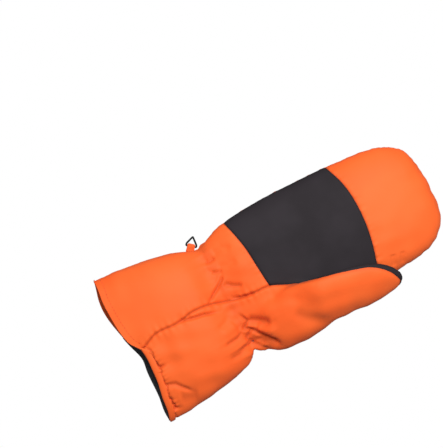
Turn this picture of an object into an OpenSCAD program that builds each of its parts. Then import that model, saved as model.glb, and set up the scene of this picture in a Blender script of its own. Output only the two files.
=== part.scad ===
// Right-hand ski mitten, lying on the back of the hand with the palm up.
// +X points to the fingertips, +Y to the little finger side and +Z up.
// The origin is the centre of the footprint, on the surface that the mitten lies on.

/* [Glove] */
// Overall length, from the hem of the back to the fingertips
glove_length = 330; // [320:1:345]
// Flat width of the cuff at the hem
cuff_width = 153; // [148:1:160]
// How far the back of the hem reaches past the palm side
hem_step = 8; // [6:1:10]
// Height of the side seams above the surface
seam_z = 13; // [12.5:0.5:14]

/* [Layers] */
// Thickness of the outer fabric
shell_t = 0.8; // [0.6:0.1:1]
// Thickness of the polyester wadding
wadding_t = 4.5; // [4:0.1:4.7]
// Thickness of the waterproof membrane
membrane_t = 0.3; // [0.2:0.1:0.4]
// Thickness of the fleece lining
lining_t = 1.8; // [1.5:0.1:1.9]
// Gap between neighbouring layers
layer_gap = 0.2; // [0.15:0.05:0.2]
// Gap between neighbouring panels at a seam
seam_gap = 0.3; // [0.2:0.1:0.5]

/* [Joints] */
// Place of the wrist fold along the glove
wrist_x = -46; // [-48:1:-44]
// Bend of the cuff towards the palm
wrist_flex = 45; // [30:1:45]
// Bend of the cuff towards the back of the hand
wrist_extend = 35; // [20:1:35]
// Place of the finger fold along the glove
finger_fold_x = 106; // [105:1:108]
// Bend of the thumb across the palm
thumb_flex = 30; // [20:1:30]
// Bend of the thumb away from the palm
thumb_extend = 10; // [5:1:10]
// Lean of the thumb's bending axis away from vertical
thumb_lean = 30; // [25:1:35]

/* [Wrist elastic and hem] */
// Width of the wrist elastic
elastic_w = 6; // [5:1:7]
// Thickness of the wrist elastic
elastic_t = 0.9; // [0.7:0.1:1]
// Width of the turned hem
hem_w = 7; // [6:1:9]
// Depth of the facing inside the hem
facing_w = 14; // [10:1:18]

/* [Pairing hook] */
// Outside width of the hook
hook_w = 9; // [8.5:0.5:10]
// Outside length of the hook
hook_l = 12; // [11:0.5:13]
// Radius of the hook's base bar
hook_r = 0.8; // [0.7:0.05:0.9]
// Width of the slot that lets a loop into the hook
hook_slot = 1.2; // [1:0.1:1.5]
// Droop of the hook below level
hook_droop = 36; // [30:1:38]
// Width of the webbing tab
tab_w = 5; // [4:0.5:5]
// Thickness of the webbing
tab_t = 1; // [0.8:0.1:1.1]

/* [Hidden] */

orange = "darkorange";
charcoal = "dimgray";

tip_x = glove_length / 2;
back_hem_x = -glove_length / 2;
palm_hem_x = back_hem_x + hem_step;
elastic_x = wrist_x - 14;
hem_y = cuff_width / 2;
joint_gap = 0.25;
far = 400;

// Depths of the layers below the outside, outermost first
wadding_d = shell_t + layer_gap;
membrane_d = wadding_d + wadding_t + layer_gap;
lining_d = membrane_d + membrane_t + layer_gap;
cavity_d = lining_d + lining_t;

// The mitten's body, each row a cross-section: place, thumb edge, little finger edge, bottom, top
body_rows = [
    [back_hem_x, -hem_y, hem_y, 0, 33],
    [back_hem_x + 8, -hem_y, hem_y, 0, 34],
    [-130, -75.3, 74, 0, 39],
    [-100, -71.2, 69.6, 0, 42],
    [-78, -67.3, 64, 0, 38.5],
    [-67, -63.5, 59.3, 0, 32],
    [-60, -58.5, 56.6, 0, 28.5],
    [-55, -54.2, 57.4, 0, 28],
    [-49, -55.2, 60, 0, 28],
    [-40, -56.5, 64.6, 0, 31],
    [-24, -57, 68, 0, 34],
    [10, -57, 70.8, 0, 34.5],
    [50, -54, 70.3, 0, 34.5],
    [86, -52, 69, 0, 35.5],
    [106, -50.3, 67.2, 0, 36],
    [126, -48.5, 65, 0, 34.5],
    [142, -44, 60.7, 0.5, 31.5],
    [153, -35.8, 53.5, 2.5, 28],
    [160, -27, 45.5, 5.5, 23.5],
    [tip_x, -12, 26, 9.5, 17]
];
// Where the fingertip begins to close, and the depths that take a layer to its own middle
body_close_x = 100;
body_half_w = 60;
body_top_h = 22;

// The thumb, each row a cross-section: place, middle, half width, middle height, half height,
// and how much higher it stands for each step towards the palm
thumb_rows = [
    [-44, -37, 17, 15, 10, 0],
    [-34, -39.5, 25, 19, 14.5, 0.1],
    [-15, -40.5, 26.6, 25, 17.5, 0.15],
    [6, -40.4, 26, 32, 16.3, 0.25],
    [22, -40, 22.3, 42.5, 13, 0.36],
    [34, -41, 21.7, 45, 12, 0.4],
    [47, -42.3, 21.5, 45.5, 11.5, 0.42],
    [64, -45, 20.2, 45.5, 11, 0.44],
    [76, -46.6, 18, 45.2, 10.2, 0.46],
    [85, -48.3, 14.8, 44.8, 9, 0.48],
    [92, -50.6, 11.2, 44, 7.6, 0.48],
    [96, -52, 7.8, 43.5, 5.8, 0.45],
    [99, -53, 3.4, 43, 3.6, 0.4]
];
thumb_close_x = 55;
thumb_tip_x = 99;
thumb_half_w = 22;
thumb_half_h = 14;
thumb_pivot = [32, -41, 44.5];

body_ring = [for (i = [0:23]) 360 * (i + 0.5) / 24];
thumb_ring = [for (i = [0:15]) 360 * (i + 0.5) / 16];

function bulge(s, power) = sign(s) * pow(abs(s), power);
function inset_x(x, d, close_x, end_x) = x - d * max(0, (x - close_x) / (end_x - close_x));

// One point of a body cross-section at angle a, at depth d below the outside
function body_point(row, a, d) =
    let (
        mid = (row[1] + row[2]) / 2,
        half = (row[2] - row[1]) / 2 * (1 - d / body_half_w),
        up = row[4] - seam_z,
        down = seam_z - row[3],
        rise = sin(a) > 0
            ? up * (1 - d / body_top_h) * bulge(sin(a), 0.85)
            : -down * (1 - d / seam_z) * min(1, 1.25 * bulge(-sin(a), 0.8))
    )
    [inset_x(row[0], d, body_close_x, tip_x), mid + half * bulge(cos(a), 0.85), seam_z + rise];

function thumb_point(row, a, d) =
    let (out = row[2] * (1 - d / thumb_half_w) * bulge(cos(a), 0.9))
    [
        inset_x(row[0], d, thumb_close_x, thumb_tip_x),
        row[1] + out,
        row[3] + row[5] * out + row[4] * (1 - d / thumb_half_h) * bulge(sin(a), 0.9)
    ];

// A closed skin over rings of points that all have the same count
module loft(rings) {
    n = len(rings[0]);
    last = len(rings) - 1;
    polyhedron(
        points = [for (ring = rings) each ring],
        faces = concat(
            [[for (i = [0:n - 1]) i]],
            [for (r = [0:last - 1], i = [0:n - 1])
                [r * n + i, (r + 1) * n + i, r * n + (i + 1) % n]],
            [for (r = [0:last - 1], i = [0:n - 1])
                [r * n + (i + 1) % n, (r + 1) * n + i, (r + 1) * n + (i + 1) % n]],
            [[for (i = [n - 1:-1:0]) last * n + i]]
        )
    );
}

// Skins below the outside start past the hem, so that each layer is open there
module body_skin(d) {
    start = d > 0 ? 2 : 0;
    first = body_rows[0];
    loft(concat(
        [[for (a = body_ring) body_point(first, a, d) - [start, 0, 0]]],
        [for (r = [1:len(body_rows) - 1]) [for (a = body_ring) body_point(body_rows[r], a, d)]]
    ));
}

module thumb_skin(d) {
    loft([for (row = thumb_rows) [for (a = thumb_ring) thumb_point(row, a, d)]]);
}

module body_layer(d, t) {
    difference() {
        body_skin(d);
        body_skin(d + t);
    }
}

// A layer of the hand, with the thumb's stall opening into it
module hand_layer(d, t) {
    difference() {
        union() {
            body_skin(d);
            thumb_skin(d);
        }
        body_skin(d + t);
        thumb_skin(d + t);
    }
}

module thumb_layer(d, t) {
    difference() {
        thumb_skin(d);
        thumb_skin(d + t);
    }
}

// Everything inside an outline seen from above, and its side view equivalent
module plan(points, low = -5, high = 80) {
    translate([0, 0, low]) linear_extrude(height = high - low) polygon(points);
}

module side_view(points) {
    rotate([90, 0, 0]) linear_extrude(height = far, center = true) polygon(points);
}

module above_seam() {
    plan([[-far, -far], [far, -far], [far, far], [-far, far]], seam_z + seam_gap / 2);
}

module below_seam() {
    plan([[-far, -far], [far, -far], [far, far], [-far, far]], -5, seam_z - seam_gap / 2);
}

// The cuff's side of the wrist fold, and the hand's side
module cuff_side() {
    top = tan(wrist_flex / 2) * far;
    bottom = tan(wrist_extend / 2) * far;
    edge = wrist_x - joint_gap;
    side_view([
        [edge, seam_z], [edge - top, seam_z + far], [-far - top, seam_z + far],
        [-far - bottom, seam_z - far], [edge - bottom, seam_z - far]
    ]);
}

module hand_side() {
    top = tan(wrist_flex / 2) * far;
    bottom = tan(wrist_extend / 2) * far;
    edge = wrist_x + joint_gap;
    side_view([
        [edge, seam_z], [edge + bottom, seam_z - far], [far + bottom, seam_z - far],
        [far + top, seam_z + far], [edge + top, seam_z + far]
    ]);
}

// The stretch of the cuff that starts this far inside the stepped hem
module inside_hem(start, stop = far) {
    side_view([
        [back_hem_x + start, -5], [back_hem_x + start, seam_z - 7],
        [palm_hem_x + start, seam_z + 7], [palm_hem_x + start, 80],
        [palm_hem_x + stop, 80], [palm_hem_x + stop, seam_z + 7],
        [back_hem_x + stop, seam_z - 7], [back_hem_x + stop, -5]
    ]);
}

module fingers_side() {
    side_view([
        [finger_fold_x + joint_gap, -5], [far, -5], [far, 80], [finger_fold_x + joint_gap, 80]
    ]);
}

module palm_side() {
    side_view([
        [-far, -5], [finger_fold_x - joint_gap, -5], [finger_fold_x - joint_gap, 80], [-far, 80]
    ]);
}

// The wedge of space in front of the thumb's bending axis, or behind it
module thumb_wedge(front) {
    inner = tan(thumb_flex / 2) * far;
    outer = tan(thumb_extend / 2) * far;
    way = front ? 1 : -1;
    edge = way * joint_gap;
    translate(thumb_pivot) rotate([thumb_lean, 0, 0])
        linear_extrude(height = far, center = true) polygon([
            [edge, 0], [edge + way * inner, far], [way * 2 * far, far],
            [way * 2 * far, -far], [edge + way * outer, -far]
        ]);
}

// Where the free thumb lies, clear of the hand below it
module thumb_room() {
    intersection() {
        thumb_wedge(true);
        plan([[0, -far], [far, -far], [far, far], [0, far]], 25);
    }
}

// Hand layers stop at the thumb's fold
module hand_part(d, t) {
    intersection() {
        difference() {
            hand_layer(d, t);
            difference() {
                thumb_skin(-0.5);
                thumb_wedge(false);
                body_skin(-0.2);
            }
        }
        hand_side();
        palm_side();
    }
}

module thumb_part(d, t) {
    intersection() {
        thumb_layer(d, t);
        thumb_room();
    }
}

module finger_part(d, t) {
    intersection() {
        body_layer(d, t);
        fingers_side();
    }
}

module cuff_part(d, t, start = hem_w + seam_gap) {
    intersection() {
        body_layer(d, t);
        cuff_side();
        inside_hem(start);
    }
}

// Curved fabric comes out as one mesh
module fabric(shade) {
    color(shade) resize([0, 0, 0]) children();
}

// Panel outlines, seen from above: the long seam from the hem to the corner of the palm patch,
// the patch's near and far edges, and the inner edge of the thumb
patch_corner = [-15, -6.5];
long_seam = [[-far, 2], [-138, 2], [-103, 3.1], [-74, 4.6], [-47, -2.9], patch_corner];
thumb_edge = [patch_corner, [3, -13], [15, -15.7], [32, -16.8]];
patch_near = [[-27, far], [-26, 58], [-20.5, 38], [-16.5, 15]];
patch_far = [[84, -far], [84.5, -35], [91.5, -1.5], [93.5, 18], [92.8, 37], [89.3, 55], [86.5, 66], [86, far]];

function shifted(points, dx, dy) = [for (p = points) [p[0] + dx, p[1] + dy]];
function backwards(points) = [for (i = [len(points) - 1:-1:0]) points[i]];

module little_finger_side() {
    plan(concat(shifted(long_seam, 0, seam_gap / 2), [[far, 0], [far, far], [-far, far]]));
}

module thumb_side() {
    plan(concat(shifted(long_seam, 0, -seam_gap / 2), [[far, 0], [far, -far], [-far, -far]]));
}

module heel_outline() {
    plan(concat([[-far, far], [-far, 2]], shifted(long_seam, -seam_gap / 2, seam_gap / 2),
        backwards(shifted(patch_near, -seam_gap / 2, 0))));
}

module patch_outline() {
    near = shifted(patch_near, seam_gap / 2, seam_gap / 2);
    inner = shifted(thumb_edge, seam_gap / 2, seam_gap / 2);
    plan(concat(near, inner, [[34, -19], [34, -far]], shifted(patch_far, -seam_gap / 2, 0)));
}

module thumb_base_outline() {
    seam = shifted(long_seam, 0, -seam_gap / 2);
    inner = shifted(thumb_edge, -seam_gap / 2, -seam_gap / 2);
    plan(concat(seam, inner, [[34 - seam_gap, -19], [34 - seam_gap, -far], [-far, -far]]));
}

module fingertip_outline() {
    plan(concat(shifted(patch_far, seam_gap / 2, 0), [[far, far], [far, -far]]));
}

// Cuff

module cuff_back_shell() {
    fabric(orange) intersection() {
        cuff_part(0, shell_t);
        below_seam();
    }
}

module cuff_palm_shell() {
    fabric(orange) intersection() {
        cuff_part(0, shell_t);
        above_seam();
        little_finger_side();
    }
}

module cuff_thumb_side_shell() {
    fabric(orange) intersection() {
        cuff_part(0, shell_t);
        above_seam();
        thumb_side();
    }
}

module elastic_room(grow) {
    intersection() {
        body_layer(wadding_d - grow, elastic_t + 2 * grow);
        translate([elastic_x - elastic_w / 2 - grow, -far / 2, -5])
            cube([elastic_w + 2 * grow, far, 80]);
    }
}

module cuff_wadding() {
    difference() {
        cuff_part(wadding_d, wadding_t);
        elastic_room(0.25);
    }
}

module cuff_back_wadding() {
    fabric("whitesmoke") intersection() {
        cuff_wadding();
        below_seam();
    }
}

module cuff_palm_wadding() {
    fabric("whitesmoke") intersection() {
        cuff_wadding();
        above_seam();
    }
}

module cuff_lining() {
    fabric("slategray") cuff_part(lining_d, lining_t, facing_w + seam_gap);
}

module hem_band() {
    fabric(orange) intersection() {
        body_layer(0, lining_d - layer_gap);
        inside_hem(0, hem_w);
    }
}

module hem_facing() {
    fabric(orange) intersection() {
        body_layer(lining_d, lining_t);
        inside_hem(0, facing_w);
    }
}

module wrist_elastic() {
    fabric("white") elastic_room(0);
}

// Hand

module hand_back_shell() {
    fabric(orange) intersection() {
        hand_part(0, shell_t);
        below_seam();
    }
}

module palm_heel_shell() {
    fabric(orange) intersection() {
        hand_part(0, shell_t);
        above_seam();
        heel_outline();
    }
}

module palm_patch() {
    fabric(charcoal) intersection() {
        hand_part(0, shell_t);
        above_seam();
        patch_outline();
    }
}

module thumb_base_shell() {
    fabric(orange) intersection() {
        hand_part(0, shell_t);
        above_seam();
        thumb_base_outline();
    }
}

module fingertip_panel_root() {
    fabric(orange) intersection() {
        hand_part(0, shell_t);
        above_seam();
        fingertip_outline();
    }
}

module hand_back_wadding() {
    fabric("whitesmoke") intersection() {
        hand_part(wadding_d, wadding_t);
        below_seam();
    }
}

module hand_palm_wadding() {
    fabric("whitesmoke") intersection() {
        hand_part(wadding_d, wadding_t);
        above_seam();
    }
}

module hand_membrane() {
    fabric("lightsteelblue") hand_part(membrane_d, membrane_t);
}

module hand_lining() {
    fabric("slategray") hand_part(lining_d, lining_t);
}

// Fingers

module finger_back_shell() {
    fabric(orange) intersection() {
        finger_part(0, shell_t);
        below_seam();
    }
}

module fingertip_palm_shell() {
    fabric(orange) intersection() {
        finger_part(0, shell_t);
        above_seam();
    }
}

module finger_back_wadding() {
    fabric("whitesmoke") intersection() {
        finger_part(wadding_d, wadding_t);
        below_seam();
    }
}

module finger_palm_wadding() {
    fabric("whitesmoke") intersection() {
        finger_part(wadding_d, wadding_t);
        above_seam();
    }
}

module finger_membrane() {
    fabric("lightsteelblue") finger_part(membrane_d, membrane_t);
}

module finger_lining() {
    fabric("slategray") finger_part(lining_d, lining_t);
}

// Thumb: the inner panel faces the palm, and the outer panel covers the rest

module thumb_inner_half(gap) {
    translate(thumb_pivot) rotate([-58, 0, -8])
        translate([0, far / 2 + gap, 0]) cube(far, center = true);
}

module thumb_outer_shell() {
    fabric(orange) difference() {
        thumb_part(0, shell_t);
        thumb_inner_half(-seam_gap / 2);
    }
}

module thumb_inner_shell() {
    fabric(charcoal) intersection() {
        thumb_part(0, shell_t);
        thumb_inner_half(seam_gap / 2);
    }
}

module thumb_wadding() {
    fabric("whitesmoke") thumb_part(wadding_d, wadding_t);
}

module thumb_membrane() {
    fabric("lightsteelblue") thumb_part(membrane_d, membrane_t);
}

module thumb_lining() {
    fabric("slategray") thumb_part(lining_d, lining_t);
}

// Pairing hook: its base bar turns in the eye of a webbing tab that is sewn into the side seam

hook_turn = 50;
hook_pivot = [-62.4, 61.9, 8.5];
eye_r = hook_r + 0.08;
tab_l = 8.5;

module at_hook() {
    translate(hook_pivot) rotate([0, 0, hook_turn]) children();
}

module hook_tab() {
    color(orange) at_hook() rotate([90, 0, 0])
        linear_extrude(height = tab_w, center = true) difference() {
            union() {
                circle(r = eye_r + tab_t, $fn = 48);
                translate([-tab_l, -eye_r - tab_t]) square([tab_l, 2 * (eye_r + tab_t)]);
            }
            circle(r = eye_r, $fn = 48);
        }
}

// A flat moulded triangle, with a round bar across its open base
module pairing_hook() {
    half = hook_w / 2;
    inside = half - 2 * hook_r;
    reach = hook_l - hook_r;
    color("black") at_hook() rotate([0, hook_droop, 0]) union() {
        linear_extrude(height = 2 * hook_r + 0.2, center = true) difference() {
            polygon([
                [-hook_r, 0.6 - half], [0.6 - hook_r, -half], [3.4, -half], [reach - 0.4, -0.7],
                [reach, 0], [reach - 0.4, 0.7], [3.4, half], [0.6 - hook_r, half],
                [-hook_r, half - 0.6]
            ]);
            polygon([
                [-2, -inside], [3, -inside], [reach - 2.4, 0], [3, inside], [-2, inside]
            ]);
            translate([2.1, -half - 1]) square([hook_slot, 2 * hook_r + 1.4]);
        }
        rotate([90, 0, 0]) cylinder(r = hook_r, h = 2 * half - 1.2, center = true, $fn = 48);
    }
}

cuff_back_shell();
cuff_palm_shell();
cuff_thumb_side_shell();
cuff_back_wadding();
cuff_palm_wadding();
cuff_lining();
hem_band();
hem_facing();
wrist_elastic();
hook_tab();
hand_back_shell();
palm_heel_shell();
palm_patch();
thumb_base_shell();
fingertip_panel_root();
hand_back_wadding();
hand_palm_wadding();
hand_membrane();
hand_lining();
finger_back_shell();
fingertip_palm_shell();
finger_back_wadding();
finger_palm_wadding();
finger_membrane();
finger_lining();
thumb_outer_shell();
thumb_inner_shell();
thumb_wadding();
thumb_membrane();
thumb_lining();
pairing_hook();
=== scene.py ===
"""Right-hand ski mitten, palm up: the looks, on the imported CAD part's frame.

Lengths are in mm until a mesh is made. +X runs from the hem to the fingertips, -Y is the thumb's side, +Z is
out of the palm.
"""

import math

import bpy
import numpy as np
from mathutils import Matrix, Vector
from mathutils.kdtree import KDTree


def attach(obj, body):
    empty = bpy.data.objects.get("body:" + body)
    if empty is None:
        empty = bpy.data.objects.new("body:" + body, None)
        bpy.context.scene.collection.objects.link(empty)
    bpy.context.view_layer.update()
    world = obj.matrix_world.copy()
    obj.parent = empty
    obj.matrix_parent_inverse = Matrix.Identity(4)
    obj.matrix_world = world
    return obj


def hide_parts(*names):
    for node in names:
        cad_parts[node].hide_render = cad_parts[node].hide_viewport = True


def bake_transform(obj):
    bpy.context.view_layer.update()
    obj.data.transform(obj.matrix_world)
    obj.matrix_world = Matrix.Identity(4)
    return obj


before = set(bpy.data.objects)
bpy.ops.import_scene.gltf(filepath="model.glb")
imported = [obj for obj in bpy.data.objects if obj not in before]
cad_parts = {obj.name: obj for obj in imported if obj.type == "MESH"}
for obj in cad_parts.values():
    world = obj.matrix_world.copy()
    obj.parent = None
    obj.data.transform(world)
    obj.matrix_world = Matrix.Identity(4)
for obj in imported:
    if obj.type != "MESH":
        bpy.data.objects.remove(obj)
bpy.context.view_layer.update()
MM = 0.001
# height of the side seam, where the palm's panels meet the back's
SEAM_Z = 13.0
# place along the mitten of the elastic in the wrist
ELASTIC_X = -57

# ---------------------------------------------------------------- shape of the mitten

# place along the mitten, thumb edge, little finger edge, bottom, top
BODY = np.array([
    (-178, -76.0, 76.0, 0, 32.5), (-165, -76.3, 76.3, 0, 33), (-157, -76.3, 76.3, 0, 34),
    (-130, -75.3, 74.0, 0, 39), (-100, -71.2, 69.6, 0, 42), (-78, -67.3, 64.0, 0, 38.5),
    (-67, -63.6, 59.3, 0, 32), (-60, -59.6, 56.6, 0, 28.5), (-55.5, -52.0, 57.2, 0, 28),
    (-49.5, -58.3, 59.6, 0, 28), (-40, -59.0, 64.4, 0, 31), (-24, -57.0, 67.8, 0, 34),
    (10, -57.0, 70.6, 0, 34.5), (50, -54.0, 70.3, 0, 34.5), (86, -52.0, 69.0, 0, 35.5),
    (106, -50.3, 67.2, 0, 36), (126, -48.5, 65.0, 0, 34.5), (142, -44.0, 60.7, 0.5, 31.5),
    (153, -35.8, 53.5, 2.5, 28), (160, -27.5, 45.5, 5.5, 23.5), (165, -12.0, 26.0, 9.5, 17),
])
# place, middle, half width, middle height, half height, and how much higher it stands for each step
# towards the palm
THUMB = np.array([
    (-44, -38.0, 20.0, 15, 10.5, 0.05), (-34, -39.5, 25.3, 19, 14.5, 0.1),
    (-15, -40.5, 27.0, 25, 17.5, 0.16), (6, -40.4, 26.6, 32, 16, 0.27),
    (22, -39.6, 23.2, 42.5, 12.8, 0.38), (34, -40.7, 22.1, 45, 11.7, 0.42),
    (47, -42.3, 21.5, 45.5, 11.2, 0.43), (64, -45.0, 20.0, 45.5, 10.8, 0.46),
    (76, -46.6, 17.8, 45.2, 10, 0.48), (85, -48.3, 14.8, 44.8, 8.8, 0.5),
    (92, -50.6, 11.2, 44, 7.4, 0.5), (96, -52.0, 7.8, 43.5, 5.6, 0.45), (99, -53, 3.4, 43, 3.4, 0.4),
])
# how round the cross-sections of the body and of the thumb are: 2 is an ellipse, more is squarer
BODY_ROUND, THUMB_ROUND = 2.35, 2.2
# the first and last places of the thumb's own form
THUMB_START, THUMB_END = -44, 99
# where the hem lies for each place across the mitten, on the palm side and on the back
PALM_HEM = [(-78, -158), (-68, -154.3), (-51, -151.6), (-35.5, -148.4), (-26, -147.6), (-4, -147.4),
            (0, -148.3), (4, -152), (8, -154.8), (15, -157), (27, -158.8), (40, -159.5), (54.5, -159.7),
            (70, -158.5), (78, -159.5)]
BACK_HEM = [(-78, -158), (-70, -159), (-52, -157.3), (-25, -156.1), (-13, -154.6), (5, -159.3),
            (23, -163.7), (37, -166.2), (46, -166.8), (56, -166), (70, -162), (78, -159.5)]
# the line from the hem along the cuff and the palm heel, then along the thumb's upper edge
LONG_SEAM = [(-180, -2), (-147, -1.5), (-140, 1.5), (-132, 4.8), (-108, 5.0), (-101, 5.4), (-92, 7.4),
             (-80, 7.2), (-70.5, 5.6), (-59, 1.6), (-47, -2.4), (-31, -4.2), (-15, -5.0), (2.5, -11.9),
             (25, -17.5), (47, -22.6), (63.5, -27.6), (76, -32.2), (83.4, -37.8), (87, -41.4),
             (91.4, -47.4), (94.2, -53.4), (97, -62)]
# the palm patch's edge near the wrist and its edge near the fingertips, across the mitten
PATCH_NEAR = [(-20, -12), (-6.5, -14), (15, -16), (38, -18), (58, -22.3), (66, -24.5), (90, -27)]
PATCH_FAR = [(-80, 78), (-50, 81.5), (-35, 84.7), (-15, 89.6), (-1.5, 92), (19, 93.6), (37, 93), (55, 89.6),
             (61, 87.6), (67, 86), (90, 80)]


def table(rows, x):
    """A smooth curve through the rows, read at each x."""
    rows = np.asarray(rows, float)
    x = np.clip(np.asarray(x, float), rows[0, 0], rows[-1, 0])
    xs, ys = rows[:, 0], rows[:, 1:]
    gap = np.diff(xs)[:, None]
    slope = np.diff(ys, axis=0) / gap
    way = np.empty_like(ys)
    way[1:-1] = (slope[:-1] * gap[1:] + slope[1:] * gap[:-1]) / (gap[1:] + gap[:-1])
    way[0], way[-1] = slope[0], slope[-1]
    i = np.clip(np.searchsorted(xs, x) - 1, 0, len(xs) - 2)
    u = ((x - xs[i]) / gap[i, 0])[..., None]
    out = (ys[i] * (2 * u ** 3 - 3 * u ** 2 + 1) + ys[i + 1] * (3 * u ** 2 - 2 * u ** 3)
           + gap[i] * way[i] * (u ** 3 - 2 * u ** 2 + u) + gap[i] * way[i + 1] * (u ** 3 - u ** 2))
    return out[..., 0] if out.shape[-1] == 1 else out


def step(a, b, x):
    """0 at a and 1 at b, with a smooth change between them."""
    t = np.clip((x - a) / (b - a), 0, 1)
    return t * t * (3 - 2 * t)


def body_point(x, a, d=0.0):
    """The point of the body's outside at place x and angle a around it, or d below the outside."""
    lo, hi, bottom, top = np.moveaxis(table(BODY, x), -1, 0)
    s, c = np.sin(a), np.cos(a)
    up, down = (top - SEAM_Z) * (1 - d / 22), (SEAM_Z - bottom) * (1 - d / 13)
    y = (lo + hi) / 2 + (hi - lo) / 2 * (1 - d / 60) * np.sign(c) * np.abs(c) ** 0.85
    z = np.where(s > 0, up * np.abs(s) ** 0.85, -down * np.minimum(1, 1.25 * np.abs(s) ** 0.8))
    return np.stack([x - d * np.clip((x - 100) / 65, 0, 1), y, SEAM_Z + z], -1)


def body_depth(p):
    """How far outside the body a point is, roughly."""
    lo, hi, bottom, top = np.moveaxis(table(BODY, p[:, 0]), -1, 0)
    u = (p[:, 1] - (lo + hi) / 2) / ((hi - lo) / 2)
    above = p[:, 2] - SEAM_Z
    w = np.where(above > 0, above / (top - SEAM_Z), -above / (SEAM_Z - bottom))
    return ((np.abs(u) ** BODY_ROUND + np.abs(w) ** BODY_ROUND) ** (1 / BODY_ROUND) - 1) * 21


def thumb_at(x, y):
    """The thumb's middle, half width, height of its middle at y, and half height, at place x."""
    mid, half, z, h, tilt = np.moveaxis(table(THUMB, x), -1, 0)
    return mid, half, z + tilt * (y - mid), h


def thumb_depth(p):
    """How far outside the thumb a point is, roughly."""
    mid, half, z, h = thumb_at(p[:, 0], p[:, 1])
    u, w = np.abs(p[:, 1] - mid) / half, np.abs(p[:, 2] - z) / h
    e = (u ** THUMB_ROUND + w ** THUMB_ROUND) ** (1 / THUMB_ROUND) - 1
    return e * h + 40 * (p[:, 0] < THUMB_START) + 40 * (p[:, 0] > THUMB_END + 1.5)


def loft_mesh(rings, cap=True):
    """Points and faces of a tube through rings of equal count."""
    n, m = len(rings), len(rings[0])
    verts = np.concatenate(rings)
    faces = []
    for r in range(n - 1):
        for i in range(m):
            j = (i + 1) % m
            faces.append((r * m + i, r * m + j, (r + 1) * m + j, (r + 1) * m + i))
    if cap:
        faces.append(tuple(range(m - 1, -1, -1)))
        faces.append(tuple((n - 1) * m + i for i in range(m)))
    return verts, faces


def new_object(name, verts, faces, smooth=True):
    """A mesh object from points in mm."""
    me = bpy.data.meshes.new(name)
    me.from_pydata((np.asarray(verts) * MM).tolist(), [], [tuple(int(i) for i in f) for f in faces])
    me.validate()
    if smooth:
        me.shade_smooth()
    ob = bpy.data.objects.new(name, me)
    bpy.context.scene.collection.objects.link(ob)
    return ob


def coords(me):
    """The mesh's points in mm."""
    co = np.empty(len(me.vertices) * 3)
    me.vertices.foreach_get("co", co)
    return co.reshape(-1, 3) / MM


def evaluated(ob):
    """Points and quads of the object with its modifiers."""
    ev = ob.evaluated_get(bpy.context.evaluated_depsgraph_get())
    me = ev.to_mesh()
    v = coords(me)
    f = [tuple(p.vertices) for p in me.polygons]
    ev.to_mesh_clear()
    return v, f


def drop(ob):
    """Removes a helper object and its mesh."""
    me = ob.data
    bpy.data.objects.remove(ob)
    bpy.data.meshes.remove(me)


def edges_of(faces):
    """Each edge of the faces once, as pairs of points."""
    f = np.array(faces)
    e = np.concatenate([f[:, [i, (i + 1) % f.shape[1]]] for i in range(f.shape[1])])
    return np.unique(np.sort(e, axis=1), axis=0)


def relax(values, edges, rounds, amount=0.5, keep=None):
    """Each value moves towards the mean of its neighbours."""
    v = np.array(values, float)
    flat = v if v.ndim == 2 else v[:, None]
    n = len(flat)
    count = np.bincount(edges.ravel(), minlength=n)[:, None].clip(1)
    for _ in range(rounds):
        total = np.stack([np.bincount(edges[:, 0], flat[edges[:, 1], k], n)
                          + np.bincount(edges[:, 1], flat[edges[:, 0], k], n)
                          for k in range(flat.shape[1])], -1)
        move = (total / count - flat) * amount
        flat = flat + (move if keep is None else move * (1 - keep)[:, None])
    return flat if v.ndim == 2 else flat[:, 0]


def normals_of(v, f):
    """The way out of the surface at each point."""
    f = np.asarray(f)
    a, b, c = v[f[:, 0]], v[f[:, 1]], v[f[:, 2]]
    n = np.cross(b - a, c - a) if f.shape[1] == 3 else np.cross(v[f[:, 2]] - a, v[f[:, 3]] - b)
    out = np.zeros_like(v)
    for k in range(f.shape[1]):
        for d in range(3):
            out[:, d] += np.bincount(f[:, k], n[:, d], len(v))
    return out / np.linalg.norm(out, axis=1, keepdims=True).clip(1e-12)


# ---------------------------------------------------------------- seams as fields over the surface

def field_thumb_line(p):
    """Below 0 on the thumb's side of the long seam.

    On the free thumb the line leans, so that the dark panel faces the palm.
    """
    lean = 2.4 * step(5, 27, p[:, 0])
    edge = table(LONG_SEAM, p[:, 0])
    mid, half, z, h = thumb_at(p[:, 0], p[:, 1])
    u = np.clip(np.abs(edge - mid) / half, 0, 1)
    top = z + h * (1 - u ** THUMB_ROUND) ** (1 / THUMB_ROUND)
    drop_by = top - 0.7 - 2.5 * step(44, 24, p[:, 0]) - p[:, 2]
    past_the_tip = 200 * (p[:, 0] > THUMB_END - 0.5)
    return (p[:, 1] - edge + past_the_tip + lean * np.maximum(0, drop_by)) / np.sqrt(1 + lean ** 2)


def field_near(p):
    """Above 0 on the fingers' side of the patch's edge near the wrist."""
    return p[:, 0] - table(PATCH_NEAR, p[:, 1])


def field_far(p):
    """Above 0 on the fingers' side of the patch's edge near the fingertips."""
    return p[:, 0] - table(PATCH_FAR, p[:, 1])


def field_side(p):
    """Above 0 on the palm side of the side seam."""
    return p[:, 2] - SEAM_Z


def field_crotch(p):
    """Above 0 on the thumb, below 0 on the hand."""
    return body_depth(p) - thumb_depth(p)


def field_hem(p):
    """Above 0 on the mitten's side of the hem."""
    return p[:, 0] - np.where(p[:, 2] > SEAM_Z, table(PALM_HEM, p[:, 1]), table(BACK_HEM, p[:, 1]))


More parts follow.
